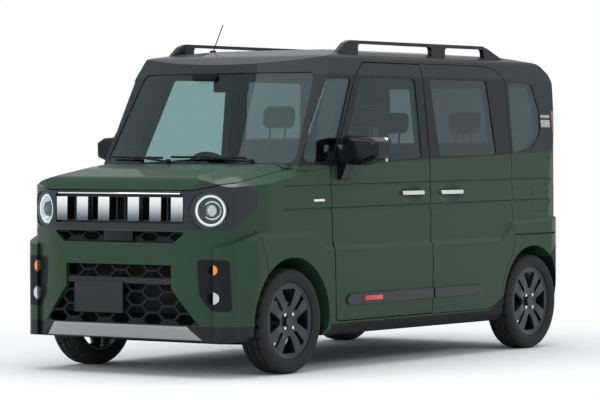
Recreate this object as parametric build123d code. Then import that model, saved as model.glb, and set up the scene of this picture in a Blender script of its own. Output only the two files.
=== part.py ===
from build123d import *
import math
import os

# A tall, boxy four-door kei car with sliding rear doors, in millimetres.
# X points to the car's left, Y to its rear and Z up. The ground is z = 0.
# The origin is under the middle of the car's length and width.

# Overall size
LENGTH = 3395.0
WIDTH = 1475.0
HEIGHT = 1800.0
FRONT_Y = -LENGTH / 2
REAR_Y = LENGTH / 2
HALF_WIDTH = WIDTH / 2

# Wheels and tyres
WHEELBASE = 2460.0
FRONT_OVERHANG = 572.0
FRONT_AXLE_Y = FRONT_Y + FRONT_OVERHANG
REAR_AXLE_Y = FRONT_AXLE_Y + WHEELBASE
TYRE_R = 281.0
TYRE_WIDTH = 165.0
RIM_R = 200.0
RIM_WIDTH = 127.0
FRONT_WHEEL_X = 647.5
REAR_WHEEL_X = 650.0
ARCH_R = 340.0

# Body sections
SKIN_X = 722.0
BELT_X = 713.0
SILL_Z = 180.0
BELT_Z = 1150.0
ROOF_Z = 1766.0
LIP_Z = 979.0
SHELF_Z = 685.0
SHELF_DROP = 36.0
LOWER_WALL = 72.0
UPPER_WALL = 45.0
FRONT_WALL = 28.0
GLASS_DEPTH = 4.0
GLASS_T = 5.0
PILLAR_B_Y = 237.0
DOOR_GAP = 6.0
SEAT_GAP = 0.3
BONNET_HALF = 640.0
TAILGATE_HALF = 585.0
TAILGATE_HINGE_Y = 1560.0


# Drawing helpers
def mirrored(points):
    """Closed outline, symmetric about x = 0, from its right half."""
    return points + [(-x, y) for x, y in reversed(points) if x > 0]


def doubled(radii, points):
    """Corner radii of the mirrored outline."""
    tail = [r for r, p in zip(reversed(radii), reversed(points)) if p[0] > 0]
    return radii + tail


def outline(points, radii=0):
    """Flat face with straight sides and rounded corners."""
    if radii == 0:
        edges = Polyline(*points, close=True).edges()
    else:
        edges = FilletPolyline(*points, radius=radii, close=True).edges()
    return make_face(edges)


def along_x(face, x0, x1):
    """Side-view outline (y, z) run from x0 to x1."""
    return extrude(Plane.YZ.offset(x0) * face, x1 - x0)


def along_y(face, y0, y1):
    """Front-view outline (x, z) run from y0 to y1."""
    return extrude(Plane.XZ.offset(-y1) * face, y1 - y0)


def along_z(face, z0, z1):
    """Plan outline (x, y) run from z0 to z1."""
    return extrude(Plane.XY.offset(z0) * face, z1 - z0)


def block(x0, x1, y0, y1, z0, z1):
    """Box between two corners."""
    centre = Pos((x0 + x1) / 2, (y0 + y1) / 2, (z0 + z1) / 2)
    return centre * Box(abs(x1 - x0), abs(y1 - y0), abs(z1 - z0))


def pair(shape):
    """A left piece and its mirror image."""
    return Part() + [shape, mirror(shape, about=Plane.YZ)]


def rod_x(y, z, radius, x0, x1):
    """Round bar along X."""
    return along_x(Pos(y, z) * Circle(radius), x0, x1)


def shrink(face, amount):
    """Outline drawn in by one amount."""
    if amount == 0:
        return face
    return offset(face, -amount, kind=Kind.INTERSECTION)


def save(name, shape):
    """Write one piece."""
    solids = [s for s in shape.solids() if s.volume > 50]
    if not solids:
        print("EMPTY", name)
        return
    result = Compound(children=solids) if len(solids) > 1 else solids[0]
    export_step(result, f"parts/{name}.step")


# Body outlines
FAR = 3000.0
JOIN_TOP = BELT_Z + 20
JOIN_BOTTOM = 1080.0
LOWER_SIDE_R = [20, 60, 500, 10, 45, 200, 0, 0, 0, 100, 60, 60, 60]
SECTION_R = [0, 25, 30, 150, 0, 0, 0, 0, 0]
PLAN = [
    (460, FRONT_Y), (660, FRONT_Y + 98), (SKIN_X, -1330), (SKIN_X, 1540), (698, 1650), (597, REAR_Y + 4),
]
PLAN_R = [600, 110, 400, 150, 60, 150]
CROWN = [(0, 1107), (300, 1103), (465, 1080), (575, 1049), (640, 1020), (760, 975), (760, -2000), (0, -2000)]
CROWN_R = [0, 900, 300, 200, 0, 0, 0, 0]
CROWN_RISE = 0.15
CROWN_START = 1800.0
UPPER_SIDE_R = [0, 0, 600, 200, 60, 150, 900, 2500, 900, 200, 0, 0]
UPPER_SECTION_R = [0, 1500, 150, 45, 60, 100, 0, 0, 0]
SCREEN_RAKE = 0.59
SCREEN_BULGE = 92.0
SCREEN_EDGE_Y = -1010.0
SCREEN_HALF = 672.0


def lower_side(top):
    """Side view below the belt: bumper, bonnet, belt, tailgate, floor."""
    return [
        (FRONT_Y + 55, SILL_Z + 10), (FRONT_Y + 8, 270), (FRONT_Y, 640), (FRONT_Y + 8, LIP_Z),
        (FRONT_Y + 45, 1050), (-1470, 1094), (-1000, 1122), (-1000, top), (REAR_Y, top),
        (REAR_Y, 535), (REAR_Y - 12, 300), (REAR_Y - 60, 230), (1480, SILL_Z),
    ]


def lower_section(top):
    """Front view below the belt, right half."""
    return [
        (0, SILL_Z), (660, SILL_Z), (708, 222), (SKIN_X - 3, 300), (SKIN_X, 640),
        (SKIN_X, 985), (BELT_X + 3, 1110), (BELT_X, top), (0, top),
    ]


def upper_side(bottom):
    """Side view above the belt: tailgate, roof, line of the windscreen head."""
    return [
        (-1300, bottom), (REAR_Y, bottom), (REAR_Y, 1330), (REAR_Y - 12, 1510), (REAR_Y - 50, 1640),
        (1560, 1706), (1200, 1743), (400, ROOF_Z), (-300, 1757), (-640, 1712), (-800, 1648), (-1300, 1400),
    ]


def upper_section(bottom):
    """Front view above the belt, right half."""
    return [
        (0, ROOF_Z), (300, ROOF_Z - 6), (560, 1739), (632, 1708), (655, 1640), (669, 1600),
        (BELT_X + 1, BELT_Z), (BELT_X + 3, bottom), (0, bottom),
    ]


def envelope(side, section, inset):
    """Side, front and plan outlines run through each other."""
    along = along_x(shrink(side, inset), -HALF_WIDTH, HALF_WIDTH)
    across = along_y(shrink(section, inset), FRONT_Y - 10, REAR_Y + 10)
    plan = outline(mirrored(PLAN), doubled(PLAN_R, PLAN))
    return along & across & along_z(shrink(plan, inset), 0, HEIGHT)


def lower_form(inset=0.0, crown_inset=None):
    """Body below the belt, with its bonnet crown."""
    crown_inset = inset if crown_inset is None else crown_inset
    top = JOIN_TOP + inset
    half = lower_section(top)
    side = outline(lower_side(top), LOWER_SIDE_R)
    section = outline(mirrored(half), doubled(SECTION_R, half))
    crown = shrink(outline(mirrored(CROWN), doubled(CROWN_R, CROWN)), crown_inset)
    drop = (CROWN_START + FRONT_Y + 200) * CROWN_RISE
    start = Pos(0, 0, -drop) * (Plane.XZ.offset(CROWN_START) * crown)
    run = Vector(0, FAR * 1.3, FAR * 1.3 * CROWN_RISE)
    return envelope(side, section, inset) & (Part() + Solid.extrude(start.faces()[0], run))


def screen_plan(inset):
    """Bowed windscreen line with cut corners at the pillars, open to the rear."""
    x = SCREEN_HALF - inset * 0.3
    y = SCREEN_EDGE_Y + inset
    bow = ThreePointArc((-x, y), (0, y - SCREEN_BULGE), (x, y))
    corner = [(x, y), (x + 26, y + 34), (x + 40, y + 90), (x + 45, FAR)]
    rest = Polyline(*corner, *[(-cx, cy) for cx, cy in reversed(corner)])
    return make_face(bow.edges() + rest.edges())


def upper_form(inset=0.0):
    """Cabin above the belt, with its bowed and raked windscreen."""
    bottom = JOIN_BOTTOM - inset
    half = upper_section(bottom)
    side = outline(upper_side(bottom), UPPER_SIDE_R)
    section = outline(mirrored(half), doubled(UPPER_SECTION_R, half))
    height = HEIGHT - bottom
    base = Pos(0, SCREEN_RAKE * (bottom - JOIN_BOTTOM), bottom) * screen_plan(inset)
    rake = Part() + Solid.extrude(base.faces()[0], Vector(0, SCREEN_RAKE * height, height))
    return envelope(side, section, inset) & rake


# Proud lower band with its sloped shelf and raised flares over the wheels
BAND = [
    (-1800, 640), (-1600, 700), (-1419, 757), (-921, 769), (-789, SHELF_Z), (977, SHELF_Z),
    (1100, 778), (1571, 791), (1640, 780), (1800, 660), (1800, 120), (-1800, 120),
]


def band_form():
    """Proud band along both sides, wrapped round the corners."""
    face = outline(BAND, [0, 60, 60, 40, 30, 30, 40, 100, 60, 0, 0, 0])
    base = Plane.YZ.offset(SKIN_X - 6) * face
    rise = HALF_WIDTH - SKIN_X + 6
    slope = math.degrees(math.atan(SHELF_DROP / rise))
    proud = extrude(base, rise, taper=slope)
    inner = along_x(face, 600, SKIN_X - 6)
    corners = [
        (430, FRONT_Y), (690, FRONT_Y + 70), (HALF_WIDTH, -1440),
        (HALF_WIDTH, 1560), (705, 1660), (613, REAR_Y + 4),
    ]
    plan = along_z(outline(mirrored(corners), doubled([500, 90, 200, 150, 50, 150], corners)), 0, 900)
    section = [
        (500, 180), (672, 180), (722, 225), (734, 300), (HALF_WIDTH, 420), (HALF_WIDTH, 900), (500, 900),
    ]
    tuck = along_y(outline(section, [0, 25, 30, 60, 200, 0, 0]), FRONT_Y - 10, REAR_Y + 10)
    side = along_x(outline(lower_side(JOIN_TOP), LOWER_SIDE_R), -HALF_WIDTH, HALF_WIDTH)
    return pair((proud + inner) & tuck & side) & plan


# Folds, handle cups and panel grooves of the body sides
CREASE_Z = (1012.0, 886.0)
CREASE_ENDS = [(742, -1215), (711, -1172), (711, 1612), (742, 1656)]
CREASE_SLOPE = 0.34
CUP_DEPTH = 16.0
FRONT_CUP = (34.0, 949.0, 112.0, 62.0)
REAR_CUP = (437.0, 948.0, 118.0, 74.0)
GROOVE = 4.0
GROOVE_DEPTH = 7.0
RAIL_SLOT = (1132, 1613, 681, 691)
FUEL_LID = [(1340, 819), (1522, 819), (1522, 981), (1340, 981)]


def creases():
    """Two long folds in each side: an undercut step over a sloping ledge."""
    folds = Part()
    for z in CREASE_Z:
        wedge = outline([(SKIN_X + 6, z + 4), (SKIN_X - 9, z - 6), (SKIN_X + 6, z - 79)])
        folds += Pos(0, 0, z) * Rot(CREASE_SLOPE, 0, 0) * Pos(0, 0, -z) * along_y(wedge, -1300, 1700)
    return pair(folds & along_z(outline(CREASE_ENDS), 700, 1100))


def cup(y, z, half_y, half_z):
    """Lens-shaped hollow behind a door handle."""
    radius = (half_z ** 2 + CUP_DEPTH ** 2) / (2 * CUP_DEPTH)
    axis_x = SKIN_X - CUP_DEPTH + radius
    arc = ThreePointArc((SKIN_X, y - half_y), (SKIN_X - CUP_DEPTH, y), (SKIN_X, y + half_y))
    rest = Polyline((SKIN_X, y + half_y), (axis_x, y + half_y), (axis_x, y - half_y), (SKIN_X, y - half_y))
    face = make_face(arc.edges() + rest.edges())
    return Pos(0, 0, z) * revolve(face, Axis((axis_x, 0, 0), (0, 1, 0)))


def slot(points, shift_y, shift_z=0.0):
    """Narrow strip between a line and its shifted copy."""
    return outline(points + [(y + shift_y, z + shift_z) for y, z in reversed(points)])


def ring(face, width=GROOVE):
    """Narrow closed strip along an outline."""
    return shrink(face, -width / 2) - shrink(face, width / 2)


def side_grooves(outer):
    """Panel gaps of the fixed panels, cut into the skin."""
    layer = outer - lower_form(GROOVE_DEPTH) - upper_form(GROOVE_DEPTH)
    strips = ring(outline(SLIDING_DOOR, SLIDING_DOOR_R)) + slot(BUMPER_LINE, GROOVE)
    grooves = pair(along_x(strips, 600, 760))
    grooves += along_x(ring(outline(FUEL_LID, 25), 3), 600, 760)
    grooves += pair(along_x(slot(REAR_BUMPER_LINE, 0, GROOVE), 400, 760))
    return (grooves & layer) + pair(block(708, 760, *RAIL_SLOT))


# Door openings, windows and panel lines, each a side or front view
BUMPER_LINE = [(-1300, 100), (-1360, 600), (-1421, 762), (-1421, 774)]
REAR_BUMPER_LINE = [(1540, 556), (1700, 655), (1800, 655)]
DOOR_BOTTOM_Z = 258.0
DOOR_TOP_Z = 1680.0
FENDER_END_Y = -757.5
FRONT_DOOR = [
    (-728, DOOR_BOTTOM_Z), (-757, 1104), (-724, 1113), (-446, 1602), (-335, DOOR_TOP_Z),
    (PILLAR_B_Y, DOOR_TOP_Z), (PILLAR_B_Y, DOOR_BOTTOM_Z),
]
FRONT_DOOR_R = [45, 8, 20, 60, 40, 0, 0]
SLIDING_DOOR = [
    (PILLAR_B_Y, DOOR_BOTTOM_Z), (PILLAR_B_Y, DOOR_TOP_Z), (930, DOOR_TOP_Z), (1060, 1655), (1128, 1590),
    (1118, 1000), (1124, 690), (1118, 600), (1003, 430), (985, 318), (860, DOOR_BOTTOM_Z),
]
SLIDING_DOOR_R = [0, 0, 100, 60, 60, 0, 0, 60, 40, 40, 60]
WINDOWS = {
    "door": ([(-395, 1592), (150, 1594), (158, 1150), (-640, 1118)], [35, 35, 18, 15]),
    "sliding": ([(303, 1594), (912, 1592), (958, 1163), (346, 1152)], [30, 30, 20, 20]),
    "quarter": ([(1155, 1592), (1421, 1580), (1490, 1409), (1478, 1289), (1380, 1205), (1150, 1163)],
                [20, 45, 40, 60, 120, 15]),
    "pillar": ([(-752, 1578), (-488, 1585), (-735, 1128), (-965, 1128)], [25, 15, 15, 20]),
}
SCREEN = [(652, 1122), (585, 1618)]
REAR_WINDOW = [(555, 1185), (520, 1590)]
SCREEN_CORNER_R = 40.0
PILLAR_WINDOW_X = 662.0
TWO_TONE = [
    (-1400, 1108), (-740, 1108), (1140, 1162), (1480, 1292), (1492, 1365), (1800, 1365), (1800, 1900),
    (-1400, 1900),
]
CABIN_FLOOR_Z = 330.0
FLOOR_T = 26.0
KICK_Y = 1204.0
BOOT_FLOOR_Z = 466.0
FIREWALL_Y = -935.0
CABIN_FRONT_Y = -880.0
WELL_INNER_X = 385.0
LINER_T = 6.0
REAR_WELL_X = 545.0
BUMPER_TOP_Z = 774.0
GATE_BOTTOM_Z = 575.0
HEADER_Z = 1672.0
LAMP_BOTTOM_Z = 972.0
LAMP_TOP_Z = 1421.0


def solids(shape, least=2000.0):
    """The pieces of a cut, without slivers."""
    return Part() + [s for s in shape.solids() if s.volume > least]


def split_off(body, zone):
    """The piece of a body inside a zone, and the rest."""
    return solids(body & zone), solids(body - zone)


def window(name, inset=0.0):
    points, radii = WINDOWS[name]
    return shrink(outline(points, radii), inset)


def front_window(points, inset=0.0):
    return shrink(outline(mirrored(points), SCREEN_CORNER_R), inset)


def wheel_wells(grow=0.0, reach=800.0):
    """Round wells; the front ones are wide enough for the steered tyres."""
    front = rod_x(FRONT_AXLE_Y, TYRE_R, ARCH_R + grow, WELL_INNER_X - grow, reach)
    rear = rod_x(REAR_AXLE_Y, TYRE_R, ARCH_R - 5 + grow, REAR_WELL_X - grow, reach)
    return pair(front + rear)


def white_body():
    """Whole shell: outer form less the cabin, engine bay and wheel wells."""
    outer = lower_form() + upper_form() + band_form()
    outer = outer - side_grooves(outer) - creases() - pair(cup(*FRONT_CUP) + cup(*REAR_CUP))
    cabin = lower_form(LOWER_WALL, 0.0) & block(-700, 700, CABIN_FRONT_Y, 1700, CABIN_FLOOR_Z, 1300)
    cabin += upper_form(UPPER_WALL) & block(-700, 700, -1400, 1700, JOIN_BOTTOM + 10, 1760)
    bay = lower_form(FRONT_WALL) & block(-720, 720, -1700, FIREWALL_Y, 215, 1090)
    shell = outer - cabin - bay
    inside = lower_form(FRONT_WALL) & block(-712, 712, -1560, 1660, 215, 1000)
    shell += wheel_wells(LINER_T, 705) & inside
    shell = shell - wheel_wells() - block(-380, 380, -1560, FIREWALL_Y, 100, 230)
    return solids(shell - floor_zone())


def floor_zone():
    """Space between the side sills, filled by the floor pan."""
    return block(-640, 640, CABIN_FRONT_Y, 1600, 100, CABIN_FLOOR_Z)


def bowed_plan(edge_y, front_y):
    """Plan area in front of the windscreen's bowed lower edge."""
    bow = ThreePointArc((-700, edge_y), (0, edge_y - 120), (700, edge_y))
    sides = Polyline((700, edge_y), (700, front_y), (-700, front_y), (-700, edge_y))
    return make_face(bow.edges() + sides.edges())


def bonnet_zone(gap):
    """Bonnet region, drawn in by its gap."""
    edge_x = BONNET_HALF - gap
    lip = [(480, LIP_Z + gap), (600 - gap / 2, 1002 + gap), (edge_x, 1017 + gap), (edge_x, 1250)]
    return along_y(outline(mirrored(lip)), -1800, -900) & along_z(bowed_plan(-1012 - gap, -1800), 900, 1300)


def front_panels(body, nodes):
    """Bonnet, lamp surrounds, bumper, fenders and cowl."""
    nodes["bonnet"] = solids(body & bonnet_zone(DOOR_GAP))
    body = solids(body - bonnet_zone(0))
    lamp_side = [
        (-1800, BUMPER_TOP_Z), (-1570, BUMPER_TOP_Z), (-1537, 797), (-1398, 890), (-1392, 945),
        (-1445, 1000), (-1460, 1060), (-1800, 1060),
    ]
    zone = along_x(outline(lamp_side, [0, 30, 30, 60, 40, 20, 0, 0]), -760, 760)
    nodes["lamp_surrounds"], body = split_off(body, zone)
    bumper_side = [(-1800, 100)] + BUMPER_LINE + [(-1800, BUMPER_TOP_Z)]
    nodes["front_bumper"], body = split_off(body, along_x(outline(bumper_side), -760, 760))
    side = outline([(690, 100), (760, 100), (760, 1300), (560, 1300), (560, 985), (690, 985)])
    zone = pair(along_y(side, -1500, FENDER_END_Y)) - block(-800, 800, -1010, -700, 1108, 1900)
    nodes["front_fenders"], body = split_off(body, zone)
    nodes["cowl"], body = split_off(body, block(-650, 650, -1150, -1000, 1000, 1117))
    return body


def side_panels(body, nodes):
    """Hinged front doors and sliding rear doors, both sides."""
    door_face = outline(FRONT_DOOR, FRONT_DOOR_R)
    door = solids(body & along_x(shrink(door_face, DOOR_GAP), 560, 760))
    nodes["door_left"] = solids(door - along_x(window("door"), 500, 760))
    slide_face = outline(SLIDING_DOOR, SLIDING_DOOR_R)
    slide = solids(body & along_x(shrink(slide_face, SEAT_GAP), 560, 760))
    nodes["sliding_door_left"] = solids(slide - along_x(window("sliding"), 500, 760))
    for name in ("door", "sliding_door"):
        nodes[name + "_right"] = mirror(nodes[name + "_left"], about=Plane.YZ)
    return solids(body - pair(along_x(door_face, 560, 760) + along_x(slide_face, 560, 760)))


def rear_panels(body, nodes):
    """Tailgate, tail lamps, rear bumper and sill covers."""
    half = [(0, GATE_BOTTOM_Z), (TAILGATE_HALF, GATE_BOTTOM_Z), (TAILGATE_HALF, 1900), (0, 1900)]
    face = outline(mirrored(half))
    zone = along_y(face, TAILGATE_HINGE_Y, 1800) - block(-800, 800, 1500, 1622, 500, HEADER_Z)
    inner = along_y(shrink(face, DOOR_GAP), TAILGATE_HINGE_Y + DOOR_GAP, 1800)
    inner = inner - block(-800, 800, 1500, 1622 + DOOR_GAP, 500, HEADER_Z + DOOR_GAP)
    nodes["tailgate"] = solids((body & inner) - along_y(front_window(REAR_WINDOW), 1500, 1800))
    body = solids(body - zone)
    zone = pair(block(TAILGATE_HALF + 8, 760, 1625, 1800, LAMP_BOTTOM_Z, LAMP_TOP_Z))
    nodes["tail_lamps"], body = split_off(body, zone)
    corner = outline(REAR_BUMPER_LINE + [(1800, 100), (1560, 100)])
    nodes["rear_bumper"], body = split_off(body, along_x(corner, -760, 760))
    sill = outline([(-800, 100), (-800, 248), (855, 248), (978, 312), (1003, 330), (1010, 100)])
    nodes["sill_covers"], body = split_off(body, pair(along_x(sill, 660, 760)))
    return body


def shell_halves(body, nodes):
    """Painted lower shell and dark upper shell, with the fixed windows cut."""
    holes = pair(along_x(window("quarter"), 500, 760) + along_x(window("pillar"), PILLAR_WINDOW_X, 760))
    body = solids(body - holes)
    body = solids(body - along_y(front_window(SCREEN), -1300, -500))
    nodes["roof"], nodes["body_shell"] = split_off(body, along_x(outline(TWO_TONE), -760, 760))


def glazing(nodes):
    """Glass plates inside their window edges."""
    layer = upper_form(GLASS_DEPTH) - upper_form(GLASS_DEPTH + GLASS_T)
    nodes["windscreen"] = layer & along_y(front_window(SCREEN, SEAT_GAP), -1300, -500)
    nodes["tailgate_glass"] = layer & along_y(front_window(REAR_WINDOW, SEAT_GAP), 1500, 1800)
    nodes["door_glass_left"] = layer & along_x(window("door", SEAT_GAP), 500, 760)
    nodes["door_glass_right"] = mirror(nodes["door_glass_left"], about=Plane.YZ)
    fixed = Part()
    for name, start in (("sliding", 500), ("quarter", 500), ("pillar", PILLAR_WINDOW_X + SEAT_GAP)):
        fixed += layer & along_x(window(name, SEAT_GAP), start, 760)
    nodes["fixed_side_glass"] = pair(fixed)


# Grille, lamps and mesh
GRILLE_HALF = 436.0
GRILLE_LOW_Z = 808.0
GRILLE_HIGH_Z = 962.0
BAR_X = (101, 248, 391)
BAR_WIDTH = 76.0
BAR_LOW_Z = 820.0
BAR_HIGH_Z = 946.0
LAMP_X = 558.0
LAMP_Z = 877.0
LAMP_R = 97.0
MID_MESH = [(448, 766), (372, 706)]
LOW_MESH = [(357, 590), (357, 470), (518, 277), (0, 277), (0, 590)]
POD = [(505, 622), (682, 622), (690, 352), (580, 352), (520, 430)]
POD_LAMPS = ((598, 568, 27), (600, 421, 33))
MESH_T = 12.0
MESH_Y = FRONT_Y + 24


def hexagon(x, z, width, height):
    """Flattened hexagon."""
    half = width / 2
    top = height / 2
    points = [(half, 0), (half / 2, top), (-half / 2, top), (-half, 0), (-half / 2, -top), (half / 2, -top)]
    return outline([(x + px, z + pz) for px, pz in points])


def mesh_plate(face, low_z, high_z, half, cell, bar):
    """Plate in an opening, pierced by staggered hexagons."""
    column = 0.75 * cell[0] + bar
    row = cell[1] + bar
    columns = int(half / column) + 1
    for i in range(-columns, columns + 1):
        z = low_z + (row / 2 if i % 2 else 0)
        while z < high_z + row / 2:
            face -= hexagon(i * column, z, *cell)
            z += row
    return face


def front_details(nodes):
    """Openings, mesh, chrome bars, lamps and skid plate of the face."""
    surround = nodes["lamp_surrounds"]
    mouth = [(0, GRILLE_LOW_Z), (GRILLE_HALF, GRILLE_LOW_Z), (GRILLE_HALF, GRILLE_HIGH_Z), (0, GRILLE_HIGH_Z)]
    opening = outline(mirrored(mouth), doubled([0, 12, 12, 0], mouth))
    surround = surround - along_y(opening, -1800, -1600)
    lamp_hole = along_y(Pos(LAMP_X, LAMP_Z) * Circle(LAMP_R + SEAT_GAP), -1800, -1480)
    nodes["lamp_surrounds"] = solids(surround - pair(lamp_hole))
    lamp = along_y(Pos(LAMP_X, LAMP_Z) * Circle(LAMP_R), -1800, -1480) & lower_form(6)
    nodes["headlamps"] = pair(lamp - lower_form(20))
    bars = Part()
    for x in BAR_X:
        bar = block(x - BAR_WIDTH / 2, x + BAR_WIDTH / 2, FRONT_Y, FRONT_Y + 30, BAR_LOW_Z, BAR_HIGH_Z)
        bars += pair(bar & lower_form(2))
    nodes["grille_bars"] = bars
    frame = shrink(opening, SEAT_GAP)
    for k in range(-7, 8):
        frame -= Pos(k * 57.0, (GRILLE_LOW_Z + GRILLE_HIGH_Z) / 2) * Rectangle(46, 118)
    nodes["grille_slats"] = along_y(frame, FRONT_Y + 30, FRONT_Y + 30 + MESH_T)
    bumper = nodes["front_bumper"]
    middle = outline(mirrored(MID_MESH), 8)
    lower = outline(mirrored(LOW_MESH[:3]), 0)
    bumper = bumper - along_y(middle, -1800, -1600) - along_y(lower, -1800, -1600)
    pod = outline(POD, [20, 20, 15, 15, 15])
    pod_zone = along_y(pod, -1800, -1300)
    pods = bumper & pair(pod_zone)
    bumper = bumper - pair(pod_zone)
    skid = outline(mirrored([(449, 271), (525, 199)]))
    skid_zone = along_y(skid, -1800, -1600)
    notch = outline([(150, 150), (290, 150), (262, 236), (178, 236)])
    nodes["skid_plate"] = (bumper & skid_zone) - pair(along_y(notch, -1800, -1690))
    nodes["front_bumper"] = solids(bumper - skid_zone)
    lamps = Part()
    for x, z, radius in POD_LAMPS:
        pods = pods - pair(along_y(Pos(x, z) * Circle(radius + SEAT_GAP), -1800, -1400))
        lens = along_y(Pos(x, z) * Circle(radius), -1800, -1400) & band_form()
        lamps += pair(lens - Pos(0, 14, 0) * band_form())
    nodes["lamp_pods"] = solids(pods)
    nodes["bumper_lamps"] = lamps
    upper = mesh_plate(shrink(middle, SEAT_GAP), 736, 760, 448, (120, 40), 8)
    low = mesh_plate(shrink(lower, SEAT_GAP), 300, 590, 518, (128, 62), 12)
    nodes["bumper_mesh"] = along_y(upper, MESH_Y, MESH_Y + MESH_T) + along_y(low, MESH_Y, MESH_Y + MESH_T)
    cross = block(-349, 349, FRONT_Y + 12, FRONT_Y + 24, 489, 520)
    number = block(-300, 30, FRONT_Y + 2, FRONT_Y + 12, 331, 496)
    nodes["front_plate"] = cross + number


# Cabin and underside
COLUMN_R = 20.0
COLUMN_LENGTH = 245.0
def seat(x, wide, hip_y, hip_z, head_z):
    """Cushion, reclined back and head rest."""
    cushion = [
        (hip_y - 540, hip_z - 130), (hip_y - 560, hip_z - 10), (hip_y - 530, hip_z + 10),
        (hip_y - 20, hip_z - 20), (hip_y, hip_z - 130),
    ]
    back = [(hip_y - 90, hip_z), (hip_y - 5, hip_z), (hip_y + 80, hip_z + 580), (hip_y, hip_z + 590)]
    foot_z = head_z - 160
    head = [(hip_y + 15, foot_z), (hip_y + 105, foot_z), (hip_y + 115, head_z), (hip_y + 40, head_z)]
    result = along_x(outline(cushion, 20), x - wide, x + wide)
    result += along_x(outline(back, 25), x - wide + 10, x + wide - 10)
    result += along_x(outline(head, 25), x - 120, x + 120)
    result += Pos(x, hip_y + 60, head_z - 180) * Cylinder(10, 60)
    return result + block(x - wide + 50, x + wide - 50, hip_y - 480, hip_y - 50, CABIN_FLOOR_Z, hip_z - 120)


def cabin_parts(nodes):
    dash = [(-868, 780), (-868, 1075), (-820, 1100), (-660, 1090), (-600, 1000), (-640, 800)]
    nodes["dashboard"] = along_x(outline(dash, 20), -600, 600)
    nodes["front_seats"] = pair(seat(305, 240, 110, 690, 1460))
    rear = seat(262, 258, 1250, 660, 1400)
    nodes["rear_seat"] = pair(rear)
    ring = Torus(180, 14) + Box(350, 30, 14) + Pos(0, -85, 0) * Box(36, 170, 14) + Cylinder(62, 30)
    column = Pos(0, 0, -COLUMN_LENGTH / 2) * Cylinder(COLUMN_R, COLUMN_LENGTH)
    place = Pos(-305, -440, 1010) * Rot(-62, 0, 0)
    nodes["steering_wheel"] = place * (ring + column)
    bore = Pos(0, 0, -COLUMN_LENGTH / 2) * Cylinder(COLUMN_R + RUN_GAP, COLUMN_LENGTH + 4)
    nodes["dashboard"] = nodes["dashboard"] - place * bore


KINGPIN_LOW = (575.0, 170.0)
KINGPIN_TOP = (470.0, 760.0)
BALL_R = 9.0
TOWER_Z = 758.0


def on_kingpin(z):
    """X of the steering axis at one height."""
    share = (z - KINGPIN_LOW[1]) / (KINGPIN_TOP[1] - KINGPIN_LOW[1])
    return KINGPIN_LOW[0] + share * (KINGPIN_TOP[0] - KINGPIN_LOW[0])


def tilted_rod(radius, z0, z1):
    """Round bar along the left steering axis."""
    start = Vector(on_kingpin(z0), FRONT_AXLE_Y, z0)
    end = Vector(on_kingpin(z1), FRONT_AXLE_Y, z1)
    return extrude(Plane(start, z_dir=end - start) * Circle(radius), (end - start).length)


def underbody(nodes):
    step = [
        (CABIN_FRONT_Y, CABIN_FLOOR_Z - FLOOR_T), (KICK_Y + FLOOR_T, CABIN_FLOOR_Z - FLOOR_T),
        (KICK_Y + FLOOR_T, BOOT_FLOOR_Z - FLOOR_T), (1600, BOOT_FLOOR_Z - FLOOR_T), (1600, BOOT_FLOOR_Z),
        (KICK_Y, BOOT_FLOOR_Z), (KICK_Y, CABIN_FLOOR_Z), (CABIN_FRONT_Y, CABIN_FLOOR_Z),
    ]
    floor = along_x(outline(step), -640, 640)
    rails = pair(block(380, 440, CABIN_FRONT_Y, KICK_Y, 215, CABIN_FLOOR_Z - FLOOR_T))
    tank = block(-300, 300, 50, 560, 205, CABIN_FLOOR_Z - FLOOR_T)
    nodes["floor_pan"] = solids((floor + rails + tank) - wheel_wells(LINER_T))
    block_part = block(-340, 300, -1480, -1000, 330, 800)
    nodes["engine_block"] = block_part + block(-280, 240, -1180, -1100, 215 + SEAT_GAP, 340)
    beam = rod_x(REAR_AXLE_Y - 60, TYRE_R, 30, -500, 500)
    hub = rod_x(REAR_AXLE_Y, TYRE_R, 45, 470, REAR_WHEEL_X + HUB_INNER_X - 2)
    hub += rod_x(REAR_AXLE_Y, TYRE_R, SPINDLE_R, 600, REAR_WHEEL_X + 48)
    arm = block(460, 510, REAR_AXLE_Y - 380, REAR_AXLE_Y + 30, 225, 290)
    arm += block(460, 510, REAR_AXLE_Y - 380, REAR_AXLE_Y - 300, 225, CABIN_FLOOR_Z - FLOOR_T - SEAT_GAP)
    nodes["rear_axle"] = beam + pair(hub + arm)
    lower = outline([(330, -1240), (598, -1150), (598, -1100), (330, -1020)], [0, 30, 30, 0])
    stud = tilted_rod(BALL_R, 160, 203)
    frame = block(-340, 340, -1240, FIREWALL_Y - SEAT_GAP, 168, 215)
    frame += block(-340, 340, -1240, -1010, 150, 168)
    nodes["front_arms"] = pair(along_z(lower, 150, 168) + stud) + frame


def exhaust():
    """Silencer under the boot floor and its tail pipe."""
    silencer = rod_x(1465, 335, 72, -420, 40)
    hanger = block(-220, -160, 1450, 1480, 395, BOOT_FLOOR_Z - FLOOR_T - SEAT_GAP)
    pipe = along_y(Pos(-380, 200) * Circle(17), 1440, 1690) + Pos(-380, 1465, 245) * Cylinder(13, 90)
    return silencer + hanger + pipe


def knuckle():
    """Left hub carrier with its strut."""
    strut = tilted_rod(24, 380, 640) + tilted_rod(BALL_R, 640, 756)
    upright = tilted_rod(30, 184, 400)
    hub = rod_x(FRONT_AXLE_Y, TYRE_R, 45, 560, FRONT_WHEEL_X + HUB_INNER_X - 2)
    spindle = rod_x(FRONT_AXLE_Y, TYRE_R, SPINDLE_R, 600, FRONT_WHEEL_X + 48)
    return strut + upright + hub + spindle - tilted_rod(BALL_R + RUN_GAP, 160, 205)


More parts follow.
